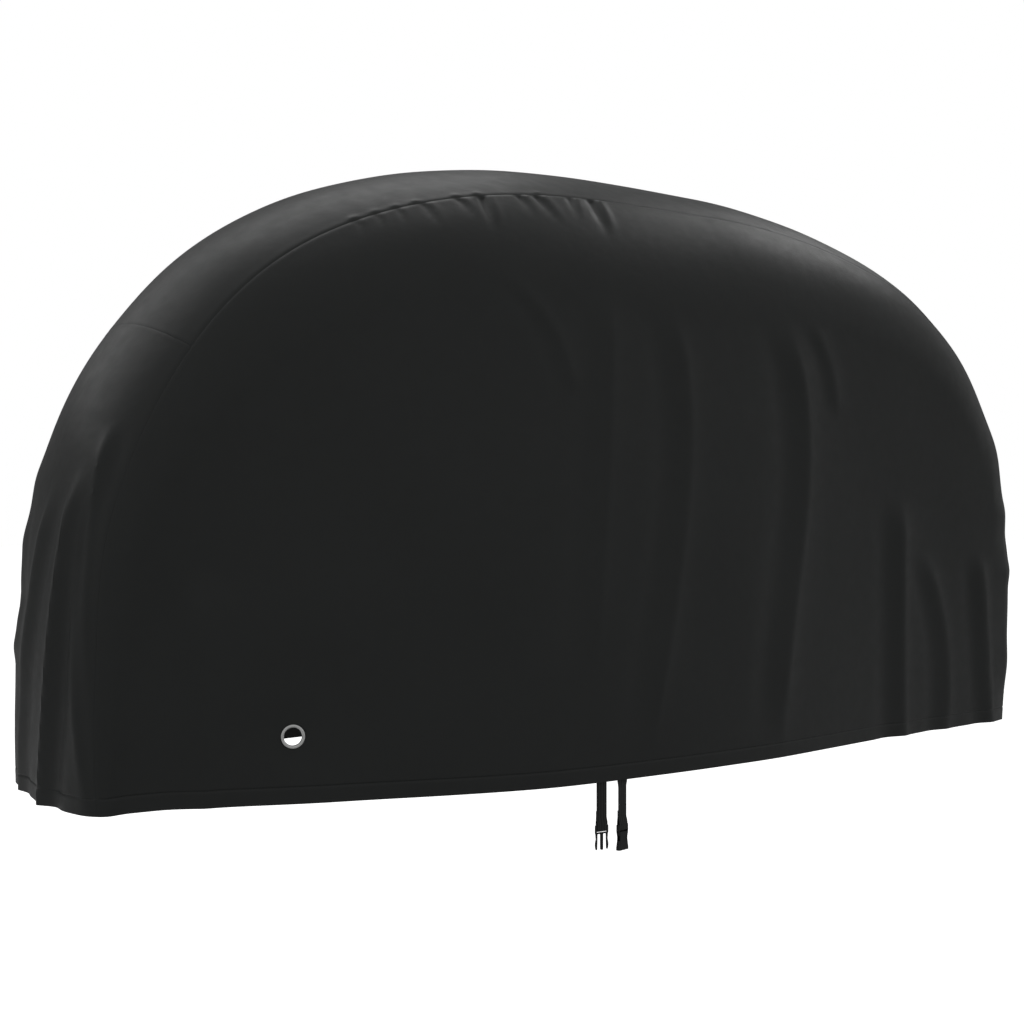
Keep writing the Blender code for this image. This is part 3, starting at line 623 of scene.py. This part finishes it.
def woven_webbing():
    """Polypropylene webbing, woven in ribs: a dull black, painted lighter on its ribs as highlight and
    darker between them as shade.
    """
    material, tree, shader = new_material("woven_webbing")
    # The ribs are about 2.5 mm apart. They are drawn 5 mm apart, so that they show at the whole
    # cover's distance.
    rib, pick = 5 * MM, 1.6 * MM
    place = add_node(tree, "TexCoord", {}, {}).outputs["UV"]
    uv = add_node(tree, "SeparateXYZ", {}, {0: place}).outputs
    across = add_node(tree, "Math", {"operation": "MULTIPLY"}, {0: uv["X"], 1: math.tau / rib})
    down = add_node(tree, "Math", {"operation": "MULTIPLY"}, {0: uv["Y"], 1: math.tau / pick})
    lean = add_node(tree, "Math", {"operation": "ADD"}, {0: across, 1: down})
    ribs = add_node(tree, "Math", {"operation": "COSINE"}, {0: across})
    picks = add_node(tree, "Math", {"operation": "SINE"}, {0: lean})
    weave = add_node(tree, "Math", {"operation": "MULTIPLY_ADD"}, {0: picks, 1: 0.5, 2: ribs})
    high = add_node(tree, "MapRange", {}, {"Value": weave, "From Min": -1.5, "From Max": 1.5})
    # The colour is painted highlight and shade: lighter where the weave stands high, darker where it
    # lies low, by the same height as the bump.
    colour = add_node(
        tree, "Mix", {"data_type": "RGBA"},
        {0: high, COLOUR_A: linear("101111"), COLOUR_B: linear("2A2D2C")},
    )
    dull = add_node(tree, "MapRange", {}, {"Value": high, "To Min": 0.75, "To Max": 0.58})
    ribbed = add_node(tree, "Bump", {}, {"Strength": 0.6, "Distance": 0.4 * MM, "Height": weave})
    feed(tree, shader, {
        "Base Color": colour, "Roughness": dull, "Normal": ribbed, "IOR": 1.49, "Sheen Weight": 0.2,
    })
    return material


def moulded_acetal():
    """Injection-moulded acetal, black through: smooth with the soft shine of a spark-eroded mould."""
    material, tree, shader = new_material("moulded_acetal")
    # The mould's grit is about 0.1 mm. It is drawn at 0.4 mm, as fine as the render can show.
    grit_size, flow_size = 0.4 * MM, 11 * MM
    place = add_node(tree, "TexCoord", {}, {}).outputs["Object"]
    grit = add_node(
        tree, "TexNoise", {}, {"Vector": place, "Scale": 1 / grit_size, "Detail": 3.0, "Roughness": 0.6}
    )
    flow = add_node(tree, "TexNoise", {}, {"Vector": place, "Scale": 1 / flow_size, "Detail": 2.0})
    colour = add_node(
        tree, "Mix", {"data_type": "RGBA"},
        {0: flow, COLOUR_A: linear("202222"), COLOUR_B: linear("2C2F2F")},
    )
    shine = add_node(
        tree, "MapRange", {},
        {"Value": grit, "From Min": 0.3, "From Max": 0.7, "To Min": 0.34, "To Max": 0.5},
    )
    grained = add_node(tree, "Bump", {}, {"Strength": 0.25, "Distance": 0.1 * MM, "Height": grit})
    feed(tree, shader, {"Base Color": colour, "Roughness": shine, "Normal": grained, "IOR": 1.48})
    return material


def nickel_plate():
    """Nickel-plated brass, pressed and rolled: bright, with faint marks from the die."""
    material, tree, shader = new_material("nickel_plate")
    mark_size = 2.4 * MM
    place = add_node(tree, "TexCoord", {}, {}).outputs["Object"]
    marks = add_node(
        tree, "TexNoise", {},
        {"Vector": place, "Scale": 1 / mark_size, "Detail": 4.0, "Roughness": 0.65},
    )
    colour = add_node(
        tree, "Mix", {"data_type": "RGBA"},
        {0: marks, COLOUR_A: linear("F0F1F1"), COLOUR_B: linear("FAFAF8")},
    )
    shine = add_node(
        tree, "MapRange", {},
        {"Value": marks, "From Min": 0.3, "From Max": 0.7, "To Min": 0.14, "To Max": 0.3},
    )
    rolled = add_node(tree, "Bump", {}, {"Strength": 0.08, "Distance": 0.1 * MM, "Height": marks})
    feed(tree, shader, {"Base Color": colour, "Roughness": shine, "Normal": rolled, "Metallic": 1.0})
    return material


def paint(obj, material):
    obj.data.materials.clear()
    obj.data.materials.append(material)


def put_in_place(piece, node, material):
    """Paints a finished piece and puts it in the frame in its solid's place."""
    paint(piece, material)
    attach(piece, "root")
    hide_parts(node)


# ---------------------------------------------------------------- the pieces

cloth, webbing = coated_polyester(), woven_webbing()
plastic, metal = moulded_acetal(), nickel_plate()

# Both panels' rows and columns, closest at the hem's stitching and at the near panel's gathers.
LOW_ROWS = runs((0, 0.019, 5), (0.019, 0.031, 14), (0.031, 0.127, 10))
NEAR_COLUMNS = runs((-0.80, -0.56, 30), (-0.56, -0.04, 140), (-0.04, 0.44, 70), (0.44, 0.79, 44))
FAR_COLUMNS = runs((-0.80, 0.79, 190))
near_grid, far_grid = panel_grid(NEAR_COLUMNS, LOW_ROWS, 70), panel_grid(FAR_COLUMNS, LOW_ROWS, 56)
near = side_panel("near_side_cloth", -1, NEAR_FOLDS, NEAR_GATHERS, near_grid)
far = side_panel("far_side_cloth", 1, FAR_FOLDS, (), far_grid)

# The strip's columns as shares of its half width, and its rows in degrees over the tail's hem. Both are
# closest at the seams and at the hem.
EDGE_SHARES = np.array((0, 0.004, 0.008, 0.014, 0.022, 0.033, 0.047, 0.066))
ACROSS = np.concatenate((EDGE_SHARES - 1, np.linspace(-0.91, 0.91, 70), 1 - EDGE_SHARES[::-1]))
BESIDE_SEAM = np.array((0, 0.05, 0.1, 0.17, 0.26, 0.38, 0.55, 0.8))
half_gap = math.degrees(SEAM_GAP / 2 / float(ridge_reach(np.radians(CROSS_SEAM))))
nose_top, crown_nose = CROSS_SEAM + half_gap, CROSS_SEAM - half_gap
nose_rows = np.concatenate((
    runs((180, 178.92, 5), (178.92, 178.2, 14), (178.2, 177.6, 3)),
    np.linspace(177.1, nose_top + 1.0, 110),
    nose_top + BESIDE_SEAM[::-1],
))
crown_rows = np.concatenate((
    crown_nose - BESIDE_SEAM,
    runs((crown_nose - 1.1, 124, 30), (124, 94, 110), (94, 2.4, 190)),
    runs((1.83, 1.11, 14), (1.11, 0, 5)),
))
nose = strip_piece("nose_cloth", np.radians(nose_rows), NOSE_PLEATS, ACROSS)
crown = strip_piece("crown_cloth", np.radians(crown_rows), TAIL_PLEATS, ACROSS)
for piece, node in (
    (near, "near_panel"), (far, "far_panel"), (nose, "nose_strip"), (crown, "crown_strip"),
):
    put_in_place(piece, node, cloth)


def standing_at(point, facing):
    """The turn and place that stand a shape on the cloth there, with its own Z outwards."""
    facing = Vector(facing)
    across = Vector((0, 0, 1)).cross(facing).normalized()
    placed = Matrix((across, facing.cross(across), facing)).transposed().to_4x4()
    placed.translation = Vector(point) - Vector((0, 0, CROWN_UNDERSIDE))
    return placed


def cut_hole(target, placed, radius):
    """Cuts the eyelet's round hole in the cloth, for good."""
    mesh = bmesh.new()
    bmesh.ops.create_cone(
        mesh, cap_ends=True, segments=64, radius1=radius, radius2=radius, depth=30 * MM
    )
    bmesh.ops.transform(mesh, matrix=placed, verts=mesh.verts)
    cutter = add_object("hole_cutter", mesh)
    cut = target.modifiers.new("hole", "BOOLEAN")
    cut.operation, cut.solver, cut.object = "DIFFERENCE", "EXACT", cutter
    bpy.context.view_layer.update()
    evaluated = target.evaluated_get(bpy.context.evaluated_depsgraph_get())
    whole = bpy.data.meshes.new_from_object(evaluated)
    target.modifiers.clear()
    target.data = whole
    bpy.data.objects.remove(cutter, do_unlink=True)


def eyelet_ring(placed):
    """A rolled rim, its barrel and the washer inside, turned about the eyelet's axis."""
    middle, half = (EYELET_BORE + EYELET_RIM) / 2, (EYELET_RIM - EYELET_BORE) / 2
    back = -(CLOTH + SET_GAP)
    profile = [
        (middle - half * math.cos(turn), SET_GAP + EYELET_ROLL * (1 + math.sin(turn)))
        for turn in np.linspace(0, math.pi, 17)
    ]
    profile += [
        (EYELET_RIM - 0.15 * MM, SET_GAP + 0.7 * MM),
        (EYELET_RIM - 0.6 * MM, SET_GAP),
        (EYELET_BARREL, SET_GAP),
        (EYELET_BARREL, back),
        (EYELET_RIM - 1.2 * MM, back),
        (EYELET_RIM - 1.0 * MM, back - 0.3 * MM),
        (EYELET_RIM - 1.3 * MM, back - EYELET_WASHER),
        (EYELET_BORE + 0.5 * MM, back - EYELET_WASHER),
        (EYELET_BORE, back - 0.6 * MM),
    ]
    mesh = bmesh.new()
    corners = [mesh.verts.new((radius, 0, height)) for radius, height in profile]
    loop = [mesh.edges.new(pair) for pair in zip(corners, corners[1:] + corners[:1])]
    bmesh.ops.spin(
        mesh, geom=corners + loop, axis=(0, 0, 1), cent=(0, 0, 0), angle=math.tau, steps=72,
        use_merge=True,
    )
    bmesh.ops.transform(mesh, matrix=placed, verts=mesh.verts)
    return add_object("eyelet_ring", mesh, sharp=50)


eyelet_at = standing_at(*eyelet_place())
cut_hole(near, eyelet_at, EYELET_BARREL + SET_GAP)
ring = eyelet_ring(eyelet_at)
put_in_place(ring, "eyelet", metal)


def strap_line(strap):
    """A strap's middle line, as how far in from its sewn stretch and how high over the hem. It drops to
    the buckle's bar, goes round it and comes back up behind itself."""
    bar, behind = -strap.drop, WEBBING + SET_GAP
    parts, joined = bar + 9.5 * MM, bar + 21 * MM       # where the two runs part and where they join
    swing = np.linspace(0, 1, 9)[1:]
    tail = bar + STRAP_TAIL
    line = [(0.0, STRAP_SEWN * share) for share in np.linspace(1, 0, 12)]
    line += [(0.0, height) for height in np.linspace(0, joined, 26)[1:]]
    line += [(-LOOP * eased(t), joined + (parts - joined) * t) for t in swing]
    line += [(-LOOP, (bar + parts) / 2)]
    line += [(-LOOP * math.cos(t), bar - LOOP * math.sin(t)) for t in np.linspace(0, math.pi, 17)]
    line += [(LOOP, (bar + parts) / 2), (LOOP, parts)]
    line += [(LOOP + (behind - LOOP) * eased(t), parts + (joined - parts) * t) for t in swing]
    return line + [(behind, tail - 4 * MM), (behind, tail)]


def strap_frame(strap, height):
    """The strap's place at a height over the hem, and its ways across and inwards there."""
    foot = on_side(np.array(strap.x), np.array(0.0), -1)
    facing = outward(foot)
    facing[2] = 0
    facing = Vector(facing).normalized()
    stands_in = facing * (CLOTH + HEM_TURN + SET_GAP + WEBBING / 2)
    if height > 0:
        sewn_to = on_side(np.array(strap.x), np.array(height), -1)
        point = Vector(sewn_to + outward(sewn_to) * near_fold_lift(strap.x, height)) - stands_in
    else:
        point = Vector(foot) - stands_in + Vector((0, 0, height))
    turn = math.radians(strap.turn) * float(eased(-height / TURN_OVER))
    inwards = Matrix.Rotation(turn, 3, "Z") @ -facing
    return point, inwards.cross(Vector((0, 0, 1))), inwards


def strap_webbing(strap):
    """A length of webbing with rounded selvedges, sewn behind the hem and looped round its buckle."""
    line = strap_line(strap)
    half, thick, edge = STRAP_WIDTH / 2, WEBBING / 2, 0.02 * MM
    turned = np.linspace(0, math.pi / 2, 5)
    flat = np.linspace(-1, 1, 13)[1:-1]
    selvedge = -half + thick * (1 - np.cos(turned))
    across = np.concatenate((selvedge, flat * (half - thick), -selvedge[::-1]))
    rise = np.sin(turned)
    rounded = edge + (thick - edge) * np.concatenate((rise, np.ones(len(flat)), rise[::-1]))
    rows = []
    for i, (reach_in, height) in enumerate(line):
        point, sideways, inwards = strap_frame(strap, height)
        before, after = line[max(i - 1, 0)], line[min(i + 1, len(line) - 1)]
        run = Vector((after[0] - before[0], after[1] - before[1])).normalized()
        normal = inwards * -run.y + Vector((0, 0, 1)) * run.x
        middle = np.array(point + inwards * reach_in) + across[:, None] * np.array(sideways)
        rows.append((middle, rounded[:, None] * np.array(normal)))
    middle, depth = (np.array(part) for part in zip(*rows))
    return closed_sheet(strap.name + "_webbing", middle + depth, middle - depth, lengths(middle))


for strap in STRAPS:
    put_in_place(strap_webbing(strap), strap.name, webbing)


def prongs_moulding():
    """The pronged half of the buckle, in the frame's own form, with its edges eased as by its mould."""
    mesh = bmesh.new()
    mesh.from_mesh(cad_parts["buckle_prongs"].data)
    bmesh.ops.remove_doubles(mesh, verts=mesh.verts, dist=0.002 * MM)
    bmesh.ops.dissolve_limit(mesh, angle_limit=math.radians(1), verts=mesh.verts, edges=mesh.edges)
    edges = [edge for edge in mesh.edges if edge.calc_face_angle(0.0) > math.radians(30)]
    bmesh.ops.bevel(
        mesh, geom=edges, offset=0.4 * MM, segments=3, profile=0.5, affect="EDGES", material=-1,
        clamp_overlap=True,
    )
    return add_object("prongs_moulding", mesh)


put_in_place(prongs_moulding(), "buckle_prongs", plastic)
paint(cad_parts["buckle_socket"], plastic)

# ---------------------------------------------------------------- floor, light and camera

FLOOR_Z, FLOOR_HALF = -CROWN_UNDERSIDE - 0.32, 30
LIT_POINT = Vector((0, 0, -0.45))
PHOTO_WIDTH, PHOTO_FOCAL, SENSOR = 1024, 1480, 36       # pixels, pixels and millimetres
EYE = (-1.486, -2.331, 0.432 - CROWN_UNDERSIDE)
EYE_TURN = 30.064       # degrees from +Y towards +X


def floor():
    """A pale floor, which the camera sees as white."""
    mesh = bmesh.new()
    bmesh.ops.create_grid(mesh, x_segments=8, y_segments=8, size=FLOOR_HALF)
    bmesh.ops.translate(mesh, vec=(0, 0, FLOOR_Z), verts=mesh.verts)
    made = add_object("studio_floor", mesh)
    material, tree, shader = new_material("studio_floor")
    seen = add_node(tree, "LightPath", {}, {}).outputs["Is Camera Ray"]
    feed(tree, shader, {
        "Base Color": linear("DADADA"), "Roughness": 0.9, "Specular IOR Level": 0.1,
        "Emission Color": linear("FFFFFF"), "Emission Strength": seen,
    })
    made.data.materials.append(material)


def softbox(name, azimuth, elevation, distance, size, radiance):
    """A soft light over the cover's middle. Azimuth is in degrees from -Y towards +X."""
    across, up = math.radians(azimuth), math.radians(elevation)
    way = Vector((math.sin(across) * math.cos(up), -math.cos(across) * math.cos(up), math.sin(up)))
    light = bpy.data.lights.new(name, "AREA")
    light.shape, light.size, light.size_y = "RECTANGLE", *size
    light.energy = radiance * math.pi * size[0] * size[1]
    made = bpy.data.objects.new(name, light)
    made.location = LIT_POINT + way * distance
    made.rotation_euler = way.to_track_quat("Z", "Y").to_euler()
    bpy.context.scene.collection.objects.link(made)


def studio_room():
    """The room is pale in front of the cover and darker behind it, less so at the nose. What the camera
    sees past the cover is white."""
    room = bpy.data.worlds.new("studio")
    room.use_nodes = True
    tree = room.node_tree
    toward = add_node(tree, "TexCoord", {}, {}).outputs["Generated"]
    way = add_node(tree, "SeparateXYZ", {}, {0: toward})
    nose_way = add_node(
        tree, "MapRange", {},
        {"Value": way.outputs["X"], "From Min": -1.0, "From Max": 0.0, "To Min": -0.45, "To Max": 0.0},
    )
    behind = add_node(tree, "Math", {"operation": "ADD"}, {0: way.outputs["Y"], 1: nose_way})
    fill = add_node(
        tree, "MapRange", {},
        {"Value": behind, "From Min": -0.1, "From Max": 0.8, "To Min": 0.31, "To Max": 0.10},
    )
    seen = add_node(tree, "LightPath", {}, {}).outputs["Is Camera Ray"]
    shown = add_node(tree, "MapRange", {}, {"Value": seen, "To Min": fill, "To Max": 1.0})
    feed(tree, tree.nodes["Background"], {"Color": linear("FFFFFF"), "Strength": shown})
    return room


def photo_camera():
    lens = bpy.data.cameras.new("camera")
    lens.sensor_fit, lens.sensor_width = "HORIZONTAL", SENSOR
    lens.lens = PHOTO_FOCAL / PHOTO_WIDTH * SENSOR
    camera = bpy.data.objects.new("camera", lens)
    camera.location = EYE
    camera.rotation_euler = (math.radians(90), 0, math.radians(-EYE_TURN))
    bpy.context.scene.collection.objects.link(camera)
    return camera


floor()
softbox("back_top", 180, 66, 3.2, (2.6, 1.5), 1.35)
softbox("tail_side", 100, 44, 3.2, (1.4, 1.3), 1.5)
softbox("nose_side", -134, 36, 3.4, (2.6, 2.2), 0.66)
bpy.context.scene.world = studio_room()
bpy.context.scene.view_settings.view_transform = "Standard"
bpy.context.scene.view_settings.look = "None"
bpy.context.scene.camera = photo_camera()
